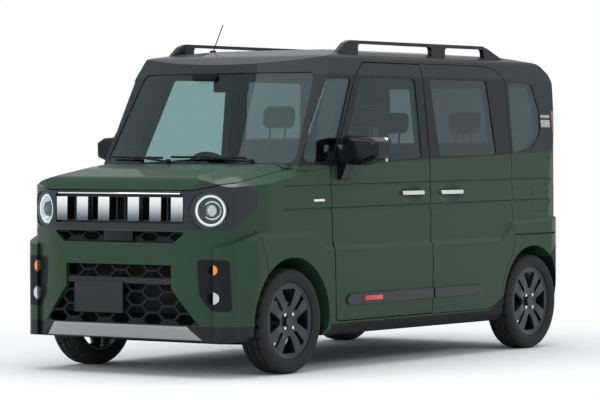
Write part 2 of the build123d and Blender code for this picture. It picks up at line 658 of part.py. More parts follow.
# Wheels
def tyre(x, y):
    """Ring with rounded shoulders."""
    half = TYRE_WIDTH / 2
    bead = RIM_WIDTH / 2
    points = [
        (-bead, RIM_R + 3), (-half, RIM_R + 40), (-half + 6, TYRE_R - 16), (-half + 24, TYRE_R),
        (half - 24, TYRE_R), (half - 6, TYRE_R - 16), (half, RIM_R + 40), (bead, RIM_R + 3),
    ]
    ring = revolve(Plane.XY * outline(points, [0, 22, 16, 0, 0, 16, 22, 0]), Axis.X)
    return Pos(x, y, TYRE_R) * ring


SPINDLE_R = 20.0
HUB_INNER_X = -22.0
RUN_GAP = 0.05


def rim(x, y, side):
    """Barrel and four-lobed face, outer side towards the given side."""
    half = RIM_WIDTH / 2
    seat_r = RIM_R + 2.7
    points = [(-half, seat_r), (-half, RIM_R - 8), (half - 4, RIM_R - 14), (half, RIM_R - 6), (half, seat_r)]
    barrel = revolve(Plane.XY * outline(points), Axis.X)
    lobe = outline([(-14, 78), (14, 78), (64, 172), (-64, 172)], 10)
    gash = outline([(-9, 80), (9, 80), (17, 180), (-17, 180)], 7)
    dish = [
        (half - 34, 28), (half - 14, 28), (half - 3, 110),
        (half - 5, 192), (half - 24, 192), (half - 22, 110),
    ]
    disc = revolve(Plane.XY * outline(dish, [0, 0, 60, 0, 0, 60]), Axis.X)
    for k in range(4):
        cut = Rot(0, 0, 90 * k) * lobe + Rot(0, 0, 90 * k + 45) * gash
        disc = disc - extrude(Plane.YZ.offset(half - 40) * cut, 60)
    cap = extrude(Plane.YZ.offset(half - 28) * Circle(32), 30)
    boss = extrude(Plane.YZ.offset(HUB_INNER_X) * Circle(46), half - 20 - HUB_INNER_X)
    bore = extrude(Plane.YZ.offset(HUB_INNER_X) * Circle(SPINDLE_R + RUN_GAP), half - 12 - HUB_INNER_X)
    wheel = barrel + disc + cap + boss - bore
    if side < 0:
        wheel = mirror(wheel, about=Plane.YZ)
    return Pos(x, y, TYRE_R) * wheel


# Hinges: pins fixed to the body run in lugs on the moving pieces
DOOR_PIN = (695.0, -800.0)
DOOR_PIN_R = 5.0
DOOR_HINGES = ((560.0, 728.0), (950.0, 711.0))
GATE_PIN = (1563.0, 1714.0)
BONNET_PIN = (-1036.0, 1098.0)
LUG_PIN_R = 4.0
LUG_R = 8.0
LUG_GAP = 3.0
BONNET_HEEL = (618.0, 19.1, 103.8)
DOOR_NOSE = ((250.0, 89.5, 690.0, 77.5), (690.0, 69.5, 1104.0, 57.0), (1104.0, 84.5, 1135.0, 88.5))


def door_nose():
    """Hollow front edge of a door, so that it swings past the corner of the pillar."""
    nose = Part()
    for low_z, low_r, high_z, high_r in DOOR_NOSE:
        edge = outline([(0, low_z), (low_r, low_z), (high_r, high_z), (0, high_z)])
        nose += revolve(Plane.XZ * edge, Axis.Z)
    return Pos(*DOOR_PIN) * nose


def bonnet_heel():
    """Barrel round the bonnet's hinge line, hollowing its rear edge to swing past the cowl."""
    x, end_r, middle_r = BONNET_HEEL
    arc = ThreePointArc((-x, end_r), (0, middle_r), (x, end_r))
    rest = Polyline((x, end_r), (x, 0), (-x, 0), (-x, end_r))
    return Pos(0, *BONNET_PIN) * revolve(make_face(arc.edges() + rest.edges()), Axis.X)


def door_hinges(nodes):
    """Gooseneck arms on the left door, turning on pins in pockets of the hinge pillar."""
    nodes["door_left"] = solids(nodes["door_left"] - door_nose())
    x, y = DOOR_PIN
    arm_line = [(x - 4, y - 4), (x + 3, y + 3), (647, -763), (647, -700), (639, -700), (639, -767)]
    boss = Pos(x, y) * Circle(DOOR_PIN_R + 5)
    for z, pocket_x in DOOR_HINGES:
        pocket = block(630, pocket_x, y - 18, -718, z - 20, z + 20)
        pin = Pos(x, y, z) * Cylinder(DOOR_PIN_R, 44)
        arm = along_z(outline(arm_line) + boss, z - 14, z + 14) + block(639, 656, -728, -700, z - 14, z + 14)
        arm = arm - Pos(x, y, z) * Cylinder(DOOR_PIN_R + RUN_GAP, 60)
        for name in ("body_shell", "front_fenders"):
            nodes[name] = nodes[name] - pair(pocket)
        nodes["front_fenders"] = nodes["front_fenders"] + pair(pin)
        nodes["door_left"] = nodes["door_left"] + arm
    nodes["door_right"] = mirror(nodes["door_left"], about=Plane.YZ)


def lug_hinge(y, z, x_fixed, x_moving, foot_fixed, foot_moving):
    """Fixed lug with its pin, and the lug that turns on it; each lug spans two x values."""
    disc = Pos(y, z) * Circle(LUG_R)
    start = min(x_fixed + x_moving)
    end = max(x_fixed + x_moving)
    fixed = along_x(disc, *x_fixed) + block(*x_fixed, *foot_fixed) + rod_x(y, z, LUG_PIN_R, start, end)
    moving = along_x(disc, *x_moving) + block(*x_moving, *foot_moving)
    return fixed, moving, rod_x(y, z, LUG_PIN_R + RUN_GAP, start, end + 1)


def lid_hinges(nodes):
    """Hinge lugs of the tailgate and the bonnet, both sides."""
    y, z = GATE_PIN
    feet = (y - 30, y - 3, 1690, z), (y + 4, y + 26, 1690, z)
    fixed, moving, bore = lug_hinge(y, z, (366, 378), (379, 393), *feet)
    nodes["roof"] = nodes["roof"] + pair(fixed)
    nodes["tailgate"] = nodes["tailgate"] + pair(moving - bore)
    y, z = BONNET_PIN
    x_fixed, x_moving = (637, 649), (620, 633)
    feet = (y, y + 20, 1075, z), (y - 40, y - 4, 1080, z)
    fixed, moving, bore = lug_hinge(y, z, x_fixed, x_moving, *feet)
    room = rod_x(y, z, LUG_R + LUG_GAP, min(x_moving) - LUG_GAP, min(x_fixed))
    nodes["front_fenders"] = (nodes["front_fenders"] - pair(room)) + pair(fixed)
    nodes["bonnet"] = (solids(nodes["bonnet"] - bonnet_heel()) + pair(moving)) - pair(bore)


# Fittings outside the body
RAIL_X = 575.0
STRIP_T = 9.0


def roof_fittings(nodes):
    line = [(-540, 1700), (-430, 1783), (-380, HEIGHT), (1000, HEIGHT), (1060, 1785), (1285, 1705)]
    rail = along_x(outline(line, [0, 40, 40, 60, 60, 0]), RAIL_X - 14, RAIL_X + 14)
    gaps = along_x(outline([(-290, 1600), (-300, 1782), (450, 1780), (455, 1600)], [0, 20, 20, 0]), 500, 650)
    gaps += along_x(outline([(590, 1600), (594, 1780), (1010, 1780), (1040, 1600)], [0, 20, 20, 0]), 500, 650)
    nodes["roof_rails"] = pair(rail - gaps) - upper_form(-0.2)
    base = Pos(-450, -265, 1745) * Cylinder(18, 40)
    start = Vector(-450, -265, 1755)
    end = Vector(-450, -169, 1916)
    rod = extrude(Plane(start, z_dir=end - start) * Circle(3), (end - start).length)
    nodes["antenna"] = (base + rod) - upper_form(-0.2)


def handle(hollow):
    """Grip bar over its cup, on two posts."""
    y, z, half_y, _ = hollow
    grip = extrude(Plane.YZ.offset(SKIN_X + 5) * (Pos(y, z) * SlotOverall(2 * half_y - 4, 25)), 17)
    grip = fillet(grip.faces().sort_by(Axis.X)[-1].edges(), 6)
    for post_y in (y - half_y + 22, y + half_y - 22):
        grip += rod_x(post_y, z, 9, SKIN_X - 16, SKIN_X + 8)
    return grip


def door_fittings(nodes):
    """Mirror, handle and moulding of the left front door, then its mirror image."""
    case = [(735, 1140), (745, 1272), (930, 1262), (978, 1235), (975, 1150), (850, 1108), (760, 1112)]
    shell = along_y(outline(case, 18), -690, -560)
    shell = fillet(shell.faces().sort_by(Axis.Y)[0].edges(), 24)
    foot = along_y(outline([(690, 1030), (745, 1030), (790, 1140), (700, 1240)], 12), -690, -600)
    mirror_piece = (shell + foot) - upper_form(-SEAT_GAP) - lower_form(-SEAT_GAP)
    bar = handle(FRONT_CUP) - nodes["door_left"]
    nodes["mirror_left"] = solids(mirror_piece)
    nodes["mirror_right"] = mirror(nodes["mirror_left"], about=Plane.YZ)
    line = [(-640, 372), (-600, 405), (228, 405), (228, 350), (-600, 345)]
    strip = along_x(outline(line, [8, 20, 0, 0, 20]), HALF_WIDTH, HALF_WIDTH + STRIP_T)
    nodes["door_trim_left"] = bar + strip
    nodes["door_trim_right"] = mirror(nodes["door_trim_left"], about=Plane.YZ)
    bar = handle(REAR_CUP) - nodes["sliding_door_left"]
    line = [(245, 350), (245, 405), (740, 405), (760, 385), (740, 355)]
    strip = along_x(outline(line, [0, 0, 15, 8, 15]), HALF_WIDTH, HALF_WIDTH + STRIP_T)
    nodes["sliding_door_trim"] = pair(bar + strip)


# Build every piece and write it
nodes = {}
body = white_body()
body = front_panels(body, nodes)
body = side_panels(body, nodes)
body = rear_panels(body, nodes)
shell_halves(body, nodes)
glazing(nodes)
front_details(nodes)
cabin_parts(nodes)
underbody(nodes)
roof_fittings(nodes)
door_fittings(nodes)
for name, side, y, track in (
    ("front_left", 1, FRONT_AXLE_Y, FRONT_WHEEL_X),
    ("front_right", -1, FRONT_AXLE_Y, FRONT_WHEEL_X),
    ("rear_left", 1, REAR_AXLE_Y, REAR_WHEEL_X),
    ("rear_right", -1, REAR_AXLE_Y, REAR_WHEEL_X),
):
    nodes["tyre_" + name] = tyre(side * track, y)
    nodes["rim_" + name] = rim(side * track, y, side)
tower = tilted_rod(62, 540, TOWER_Z) - tilted_rod(50, 500, TOWER_Z - 14)
strut_room = tilted_rod(38, 500, TOWER_Z - 14) + tilted_rod(BALL_R + RUN_GAP, 700, 800)
nodes["body_shell"] = nodes["body_shell"] + (pair(tower) - wheel_wells()) - pair(strut_room)
nodes["body_shell"] = solids(nodes["body_shell"], 20000)
door_hinges(nodes)
lid_hinges(nodes)
nodes["exhaust"] = exhaust()
nodes["knuckle_left"] = knuckle()
nodes["knuckle_right"] = mirror(nodes["knuckle_left"], about=Plane.YZ)

os.makedirs("parts", exist_ok=True)
for name, shape in nodes.items():
    save(name, shape)
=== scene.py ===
import math
import bpy
from mathutils import Matrix, Vector


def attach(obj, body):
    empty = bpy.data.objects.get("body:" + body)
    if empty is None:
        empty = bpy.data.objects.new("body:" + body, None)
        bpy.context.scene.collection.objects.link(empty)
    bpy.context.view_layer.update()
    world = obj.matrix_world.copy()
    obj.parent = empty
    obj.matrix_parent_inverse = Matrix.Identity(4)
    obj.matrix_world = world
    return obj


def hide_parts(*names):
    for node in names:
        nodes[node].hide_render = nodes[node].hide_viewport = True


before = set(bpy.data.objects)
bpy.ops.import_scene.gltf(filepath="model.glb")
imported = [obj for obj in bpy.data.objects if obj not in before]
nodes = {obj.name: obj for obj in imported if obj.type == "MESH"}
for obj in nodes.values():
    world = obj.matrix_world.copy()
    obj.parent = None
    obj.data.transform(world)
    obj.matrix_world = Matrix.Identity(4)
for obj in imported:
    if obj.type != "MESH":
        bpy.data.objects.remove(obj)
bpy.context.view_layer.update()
scene = bpy.context.scene

# Places of the solids, in metres; X is the car's left, Y its rear, Z up
FRONT_AXLE_Y = -1.1255
REAR_AXLE_Y = 1.3345
TYRE_R = 0.281
SIDES = ((1, "left"), (-1, "right"))
WHEELS = (
    # body, side, axle y, track x
    ("wheel_front_left", 1, FRONT_AXLE_Y, 0.6475),
    ("wheel_front_right", -1, FRONT_AXLE_Y, 0.6475),
    ("wheel_rear_left", 1, REAR_AXLE_Y, 0.65),
    ("wheel_rear_right", -1, REAR_AXLE_Y, 0.65),
)

# Paints and finishes, linear colours
GREEN = (0.018, 0.048, 0.026)
ROOF_GREY = (0.013, 0.019, 0.021)
PILLAR_BLACK = (0.006, 0.008, 0.010)
PLASTIC = (0.010, 0.012, 0.014)
CLEAR_TINT = (0.66, 0.76, 0.76)
MIRROR_FILM = (0.72, 0.84, 0.88)
TAIL_RED = (0.30, 0.006, 0.008)

# Heights at which a painted piece changes colour
BARE_LIP_Z = 0.272
HANDLE_Z = 0.8
CLEAR_BAND = (1.075, 1.135)
AMBER_BAND = (1.155, 1.225)
BELT_START = (-0.74, 1.1075)
BELT_SLOPE = 0.0287
ROOF_EDGE_Z = 1.606
REAR_PILLAR_Y = 1.137
POD_SPLIT_Z = 0.5


# ---------------------------------------------------------------- materials
def shader(name, colour, rough=0.5, metal=0.0, coat=0.0, spec=0.5):
    material = bpy.data.materials.new(name)
    material.use_nodes = True
    bsdf = material.node_tree.nodes["Principled BSDF"]
    bsdf.inputs["Base Color"].default_value = (*colour, 1)
    bsdf.inputs["Roughness"].default_value = rough
    bsdf.inputs["Metallic"].default_value = metal
    bsdf.inputs["Coat Weight"].default_value = coat
    bsdf.inputs["Coat Roughness"].default_value = 0.04
    bsdf.inputs["Specular IOR Level"].default_value = spec
    return material


def add_node(material, kind, **values):
    node = material.node_tree.nodes.new(kind)
    for key, value in values.items():
        setattr(node, key, value)
    return node


def join(material, a, b):
    material.node_tree.links.new(a, b)


def bumper_paint():
    """Green bumper whose lower edge is bare black plastic."""
    material = car_paint("bumper_green", GREEN)
    x, y, z = axes(material)
    colour = two_colours(material, maths(material, z, BARE_LIP_Z), PLASTIC, GREEN)
    join(material, colour, material.node_tree.nodes["Principled BSDF"].inputs["Base Color"])
    return material


def grain(material, scale, strength, distance=0.0004):
    """Fine moulded grain on Object coordinates."""
    place = add_node(material, "ShaderNodeTexCoord")
    noise = add_node(material, "ShaderNodeTexNoise")
    noise.inputs["Scale"].default_value = scale
    noise.inputs["Detail"].default_value = 3
    bump = add_node(material, "ShaderNodeBump")
    bump.inputs["Strength"].default_value = strength
    bump.inputs["Distance"].default_value = distance
    join(material, place.outputs["Object"], noise.inputs["Vector"])
    join(material, noise.outputs["Fac"], bump.inputs["Height"])
    join(material, bump.outputs["Normal"], material.node_tree.nodes["Principled BSDF"].inputs["Normal"])
    return material


def maths(material, a, b, how="GREATER_THAN"):
    """Math node between two values or sockets; by default 1 where a is above b."""
    node = add_node(material, "ShaderNodeMath", operation=how)
    for socket, value in zip(node.inputs, (a, b)):
        if isinstance(value, (int, float)):
            socket.default_value = value
        else:
            join(material, value, socket)
    return node.outputs[0]


def axes(material):
    """X, Y and Z of the Object coordinates."""
    place = add_node(material, "ShaderNodeTexCoord")
    split = add_node(material, "ShaderNodeSeparateXYZ")
    join(material, place.outputs["Object"], split.inputs[0])
    return split.outputs


def background_rays(tree):
    """Rays that show the plain white background: from the camera, in gloss and through glass."""
    path = tree.nodes.new("ShaderNodeLightPath")
    total = path.outputs["Is Camera Ray"]
    for name in ("Is Glossy Ray", "Is Transmission Ray"):
        node = tree.nodes.new("ShaderNodeMath")
        node.operation = "MAXIMUM"
        tree.links.new(total, node.inputs[0])
        tree.links.new(path.outputs[name], node.inputs[1])
        total = node.outputs[0]
    return total


def between(material, value, low, high):
    """1 where a value lies between two limits."""
    return maths(material, maths(material, value, low), maths(material, value, high, "LESS_THAN"), "MULTIPLY")


def two_colours(material, mask, first, second):
    """First colour where the mask is 0, second where it is 1."""
    mix = add_node(material, "ShaderNodeMix", data_type="RGBA")
    join(material, mask, mix.inputs["Factor"])
    for socket, value in ((mix.inputs["A"], first), (mix.inputs["B"], second)):
        if isinstance(value, tuple):
            socket.default_value = (*value, 1)
        else:
            join(material, value, socket)
    return mix.outputs["Result"]


def car_paint(name, colour):
    return shader(name, colour, rough=0.5, coat=0.22, spec=0.1)


def zoned_paint(name, low, frame_colour, high):
    """Lower colour under the belt line, window frames above it and the roof colour on top."""
    material = car_paint(name, low)
    x, y, z = axes(material)
    slope = maths(material, maths(material, y, -BELT_START[0], "ADD"), BELT_SLOPE, "MULTIPLY")
    belt = maths(material, slope, BELT_START[1], "ADD")
    above = maths(material, z, belt)
    roof = maths(material, z, ROOF_EDGE_Z)
    rear = maths(material, y, REAR_PILLAR_Y)
    upper = two_colours(material, maths(material, roof, rear, "MAXIMUM"), frame_colour, high)
    colour = two_colours(material, above, low, upper)
    join(material, colour, material.node_tree.nodes["Principled BSDF"].inputs["Base Color"])
    return material


def glazing(name, tint, film=0.04, front_tint=None):
    """Clear or smoked glass: a thin mirror film over what is behind it; front panes can be clearer."""
    material = shader(name, MIRROR_FILM, rough=0.02, metal=1.0)
    tree = material.node_tree
    clear = add_node(material, "ShaderNodeBsdfTransparent")
    clear.inputs["Color"].default_value = (*tint, 1)
    if front_tint:
        front = maths(material, axes(material)[1], -0.45, "LESS_THAN")
        join(material, two_colours(material, front, tint, front_tint), clear.inputs["Color"])
    weight = add_node(material, "ShaderNodeLayerWeight")
    edge = maths(material, weight.outputs["Facing"], 4.0, "POWER")
    total = maths(material, maths(material, edge, 0.55, "MULTIPLY"), film, "ADD")
    mix = add_node(material, "ShaderNodeMixShader")
    join(material, total, mix.inputs[0])
    join(material, clear.outputs[0], mix.inputs[1])
    join(material, tree.nodes["Principled BSDF"].outputs[0], mix.inputs[2])
    join(material, mix.outputs[0], tree.nodes["Material Output"].inputs["Surface"])
    return material


def trim_with_handle():
    """Black moulding below, bright handle above."""
    material = shader("trim_and_handle", PLASTIC, rough=0.5)
    bsdf = material.node_tree.nodes["Principled BSDF"]
    high = maths(material, axes(material)[2], HANDLE_Z)
    gloss = maths(material, high, -0.36, "MULTIPLY")
    join(material, two_colours(material, high, PLASTIC, (0.62, 0.64, 0.65)), bsdf.inputs["Base Color"])
    join(material, high, bsdf.inputs["Metallic"])
    join(material, maths(material, gloss, 0.5, "ADD"), bsdf.inputs["Roughness"])
    return material


def chrome_with_painted_reflection(low_z, high_z):
    """Bright metal with a painted reflection: its colour turns darker towards the lower edge, standing in for
    a darker ground mirrored there.
    """
    material = shader("bar_chrome_painted_reflection", (0.8, 0.8, 0.8), rough=0.12, metal=1.0)
    ramp = add_node(material, "ShaderNodeMapRange", interpolation_type="SMOOTHSTEP")
    ramp.inputs["From Min"].default_value = low_z
    ramp.inputs["From Max"].default_value = high_z
    join(material, axes(material)[2], ramp.inputs["Value"])
    # painted reflection: dark colour at the bottom of the bars, bright colour at the top
    colour = two_colours(material, ramp.outputs["Result"], (0.10, 0.12, 0.15), (0.86, 0.88, 0.90))
    join(material, colour, material.node_tree.nodes["Principled BSDF"].inputs["Base Color"])
    return material


def glow(material, colour, strength):
    bsdf = material.node_tree.nodes["Principled BSDF"]
    bsdf.inputs["Emission Color"].default_value = (*colour, 1)
    bsdf.inputs["Emission Strength"].default_value = strength
    return material


def woven(name, colour):
    """Seat cloth with a fine weave."""
    material = shader(name, colour, rough=0.9, spec=0.2)
    material.node_tree.nodes["Principled BSDF"].inputs["Sheen Weight"].default_value = 0.3
    return grain(material, 900, 0.5, 0.0006)


def rubber():
    return grain(shader("tyre_rubber_finish", (0.013, 0.013, 0.014), rough=0.75, spec=0.3), 400, 0.25)


def tail_lens():
    """Red lens with a clear band and an amber band by height."""
    material = shader("tail_lens_finish", TAIL_RED, rough=0.08, coat=1.0)
    x, y, z = axes(material)
    with_amber = two_colours(material, between(material, z, *AMBER_BAND), TAIL_RED, (0.75, 0.20, 0.02))
    colour = two_colours(material, between(material, z, *CLEAR_BAND), with_amber, (0.62, 0.62, 0.62))
    join(material, colour, material.node_tree.nodes["Principled BSDF"].inputs["Base Color"])
    return material


def pod_lens():
    """Amber upper lamps and clear lower lamps."""
    material = shader("pod_lens_finish", (0.7, 0.7, 0.7), rough=0.06, coat=1.0)
    x, y, z = axes(material)
    colour = two_colours(material, maths(material, z, POD_SPLIT_Z), (0.55, 0.57, 0.58), (0.85, 0.25, 0.015))
    join(material, colour, material.node_tree.nodes["Principled BSDF"].inputs["Base Color"])
    return material


finish = {
    "paint": car_paint("green_paint", GREEN),
    "bumper_paint": bumper_paint(),
    "side_paint": zoned_paint("green_and_frames", GREEN, PILLAR_BLACK, ROOF_GREY),
    "roof_paint": zoned_paint("roof_and_pillars", ROOF_GREY, PILLAR_BLACK, ROOF_GREY),
    "plastic": grain(shader("moulded_plastic", PLASTIC, rough=0.6, spec=0.12), 700, 0.3),
    "gloss_black": shader("gloss_black", (0.005, 0.006, 0.007), rough=0.15, coat=0.15, spec=0.15),
    "dark_chrome": shader(
        "satin_dark_chrome", (0.030, 0.036, 0.044), rough=0.22, metal=0.8, coat=0.15, spec=0.2
    ),
    "chrome": shader("bright_chrome_finish", (0.78, 0.79, 0.80), rough=0.10, metal=1.0),
    "silver": shader("silver_paint_finish", (0.36, 0.37, 0.38), rough=0.38, metal=0.75, coat=0.3),
    "alloy": shader("black_wheel_paint", (0.014, 0.017, 0.021), rough=0.35, coat=0.25, spec=0.25),
    "steel": shader("brake_steel", (0.28, 0.27, 0.26), rough=0.4, metal=1.0),
    "chassis": shader("chassis_black", (0.008, 0.008, 0.009), rough=0.7, spec=0.12),
    "screen_glass": glazing("screen_glass_finish", CLEAR_TINT, film=0.025),
    "dark_glass": glazing("privacy_glass_finish", (0.36, 0.41, 0.42), film=0.055, front_tint=CLEAR_TINT),
    "lens": glazing("lamp_cover", (0.93, 0.95, 0.96), film=0.04),
    "cloth": woven("seat_cloth_finish", (0.018, 0.019, 0.022)),
    "rubber": rubber(),
    "interior": grain(shader("interior_plastic", (0.014, 0.015, 0.017), rough=0.8, spec=0.1), 500, 0.3),
    "tail": tail_lens(),
    "pod_lens": pod_lens(),
    "white_light": glow(shader("light_guide", (0.8, 0.82, 0.85), rough=0.3), (0.85, 0.92, 1.0), 0.5),
    "red": shader("red_reflector", (0.62, 0.020, 0.012), rough=0.15, coat=0.4),
    "mirror": shader("mirror_glass", (0.55, 0.58, 0.60), rough=0.03, metal=1.0),
    "plate": shader("blank_plate", (0.014, 0.016, 0.021), rough=0.4, coat=0.1, spec=0.2),
    "handle_trim": trim_with_handle(),
    # grille bars: chrome whose colour carries a painted reflection, darker towards the bottom
    "bar_chrome": chrome_with_painted_reflection(0.815, 0.940),
    "cap_metal": shader("hub_cap_metal", (0.34, 0.35, 0.36), rough=0.25, metal=0.9),
}

NODE_FINISH = {
    "side_paint": (
        "door_left", "door_right", "sliding_door_left", "sliding_door_right", "body_shell", "tailgate",
    ),
    "roof_paint": ("roof",),
    "paint": ("bonnet", "front_fenders"),
    "bumper_paint": ("front_bumper",),
    "plastic": (
        "bumper_mesh", "cowl", "sill_covers", "rear_bumper", "lamp_pods", "antenna", "floor_pan",
    ),
    "handle_trim": ("door_trim_left", "door_trim_right", "sliding_door_trim"),
    "gloss_black": ("mirror_left", "mirror_right", "roof_rails", "grille_slats"),
    "interior": ("dashboard", "steering_wheel"),
    "plate": ("front_plate",),
    "dark_chrome": ("lamp_surrounds",),
    "bar_chrome": ("grille_bars",),
    "silver": ("skid_plate",),
    "lens": ("headlamps",),
    "pod_lens": ("bumper_lamps",),
    "tail": ("tail_lamps",),
    "screen_glass": ("windscreen", "door_glass_left", "door_glass_right"),
    "dark_glass": ("tailgate_glass", "fixed_side_glass"),
    "cloth": ("front_seats", "rear_seat"),
    "chassis": ("engine_block", "rear_axle", "front_arms", "knuckle_left", "knuckle_right", "exhaust"),
    "rubber": tuple("tyre_" + body[6:] for body, *_ in WHEELS),
    "alloy": tuple("rim_" + body[6:] for body, *_ in WHEELS),
}
for key, names in NODE_FINISH.items():
    for name in names:
        if name in nodes:
            data = nodes[name].data
            data.materials.clear()
            data.materials.append(finish[key])


# ---------------------------------------------------------------- workshop helpers
def rest():
    if bpy.context.mode != "OBJECT":
        bpy.ops.object.mode_set(mode="OBJECT")
    bpy.ops.object.select_all(action="DESELECT")


def pick(obj):
    rest()
    obj.select_set(True)
    bpy.context.view_layer.objects.active = obj


def settle(obj):
    """Place and size go into the mesh."""
    pick(obj)
    bpy.ops.object.transform_apply(location=True, rotation=True, scale=True)


def modify(obj, kind, **values):
    pick(obj)
    modifier = obj.modifiers.new(kind.lower(), kind)
    for key, value in values.items():
        setattr(modifier, key, value)
    bpy.ops.object.modifier_apply(modifier=modifier.name)


def smooth(obj, degrees=35):
    pick(obj)
    bpy.ops.object.shade_smooth_by_angle(angle=math.radians(degrees))


def soften(obj, width, segments=2):
    modify(obj, "BEVEL", width=width, segments=segments, limit_method="ANGLE", angle_limit=math.radians(35))
    smooth(obj)


def dress(obj, name, body, material, stands_for=()):
    """Names a finished piece, paints it and fixes it to its body."""
    obj.name = name
    obj.data.name = name
    obj.data.materials.clear()
    obj.data.materials.append(finish[material])
    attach(obj, body)
    if stands_for:
        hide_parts(*stands_for)
    return obj


def bar(centre, size, width=0.002, segments=2, turn=(0, 0, 0)):
    """Block with softened edges."""
    rest()
    bpy.ops.mesh.primitive_cube_add(size=1, location=centre, rotation=turn)
    obj = bpy.context.object
    obj.scale = size
    settle(obj)
    soften(obj, width, segments)
    return obj


def shape_faces(obj, test):
    """Selects the faces that pass a test on their middle and normal, in edit mode."""
    pick(obj)
    for polygon in obj.data.polygons:
        polygon.select = test(polygon.center, polygon.normal)
    for vertex in obj.data.vertices:
        vertex.select = False
    for edge in obj.data.edges:
        edge.select = False
    for polygon in obj.data.polygons:
        if polygon.select:
            for index in polygon.vertices:
                obj.data.vertices[index].select = True
    bpy.ops.object.mode_set(mode="EDIT")
    bpy.ops.mesh.select_mode(type="FACE")


def turned(profile, centre, steps=64, axis="X"):
    """Profile of (along, radius) points spun round an axis through the centre."""
    rest()
    bpy.ops.mesh.primitive_plane_add(size=0.01)
    obj = bpy.context.object
    bpy.ops.object.mode_set(mode="EDIT")
    bpy.ops.mesh.select_mode(type="VERT")
    bpy.ops.mesh.select_all(action="SELECT")
    bpy.ops.mesh.merge(type="CENTER")
    bpy.ops.transform.translate(value=(profile[0][0], 0, profile[0][1]))
    for (a0, r0), (a1, r1) in zip(profile, profile[1:]):
        bpy.ops.mesh.extrude_region_move(TRANSFORM_OT_translate={"value": (a1 - a0, 0, r1 - r0)})
    bpy.ops.mesh.select_all(action="SELECT")
    bpy.ops.mesh.spin(steps=steps, angle=math.tau, center=(0, 0, 0), axis=(1, 0, 0))
    bpy.ops.mesh.select_all(action="SELECT")
    bpy.ops.mesh.remove_doubles(threshold=0.00001)
    bpy.ops.mesh.normals_make_consistent(inside=False)
    bpy.ops.object.mode_set(mode="OBJECT")
    obj.location = centre
    if axis == "Y":
        obj.rotation_euler = (0, 0, math.pi / 2)
    settle(obj)
    smooth(obj, 40)
    return obj


def copy_of(obj, shift=(0, 0, 0), flip=False):
    """Copy with its own mesh, moved, and mirrored to the other side if asked."""
    pick(obj)
    bpy.ops.object.duplicate(linked=False)
    copy = bpy.context.object
    copy.location = shift
    if flip:
        copy.scale = (-1, 1, 1)
    settle(copy)
    if flip:
        bpy.ops.object.mode_set(mode="EDIT")
        bpy.ops.mesh.select_all(action="SELECT")
        bpy.ops.mesh.flip_normals()
        bpy.ops.object.mode_set(mode="OBJECT")
    return copy


def joined(objects):
    rest()
    for obj in objects:
        obj.select_set(True)
    bpy.context.view_layer.objects.active = objects[0]
    bpy.ops.object.join()
    return bpy.context.object


def swept(points, radius, steps=10):
    """Round rod along a short path."""
    rest()
    bpy.ops.mesh.primitive_circle_add(vertices=steps, radius=radius, fill_type="NGON", location=points[0])
    obj = bpy.context.object
    direction = Vector(points[1]) - Vector(points[0])
    obj.rotation_euler = direction.to_track_quat("Z", "Y").to_euler()
    settle(obj)
    bpy.ops.object.mode_set(mode="EDIT")
    bpy.ops.mesh.select_all(action="SELECT")
    for a, b in zip(points, points[1:]):
        bpy.ops.mesh.extrude_region_move(TRANSFORM_OT_translate={"value": Vector(b) - Vector(a)})
    bpy.ops.mesh.select_all(action="SELECT")
    bpy.ops.mesh.normals_make_consistent(inside=False)
    bpy.ops.object.mode_set(mode="OBJECT")
    smooth(obj, 50)
    return obj


# ---------------------------------------------------------------- wheels
TYRE_PROFILE = [
    # along the axle, radius
    (-0.0635, 0.2035), (-0.070, 0.206), (-0.0790, 0.224), (-0.0822, 0.240), (-0.0812, 0.252),
    (-0.0775, 0.263), (-0.0700, 0.2725), (-0.0600, 0.2785),
    (-0.0420, 0.2802), (-0.0415, 0.2740), (-0.0345, 0.2740), (-0.0340, 0.2806),
    (-0.0125, 0.2810), (-0.0120, 0.2740), (-0.0045, 0.2740), (-0.0040, 0.2810),
    (0.0040, 0.2810), (0.0045, 0.2740), (0.0120, 0.2740), (0.0125, 0.2810),
    (0.0340, 0.2806), (0.0345, 0.2740), (0.0415, 0.2740), (0.0420, 0.2802),
    (0.0600, 0.2785), (0.0700, 0.2725), (0.0775, 0.263), (0.0812, 0.252),
    (0.0822, 0.240), (0.0790, 0.224), (0.070, 0.206), (0.0635, 0.2035), (-0.0635, 0.2035),
]
TREAD_STEPS = 144
NUT_RING_R = 0.050


def make_tyre():
    """Tyre with rain grooves round the tread and cross cuts."""
    obj = turned(TYRE_PROFILE, (0, 0, 0), TREAD_STEPS)

    def cross_cut(centre, normal):
        radius = math.hypot(centre.y, centre.z)
        step = int((math.atan2(centre.z, centre.y) / math.tau * TREAD_STEPS) % TREAD_STEPS)
        shift = 2 if centre.x > 0 else 0
        return radius > 0.2765 and abs(centre.x) > 0.013 and (step + shift) % 5 == 0

    shape_faces(obj, cross_cut)
    bpy.ops.mesh.extrude_region_shrink_fatten(TRANSFORM_OT_shrink_fatten={"value": -0.0055})
    bpy.ops.object.mode_set(mode="OBJECT")
    return obj


def make_nut():
    rest()
    bpy.ops.mesh.primitive_cylinder_add(vertices=6, radius=0.0105, depth=0.018, rotation=(0, math.pi / 2, 0))
    nut = bpy.context.object
    settle(nut)
    soften(nut, 0.0015)
    return nut


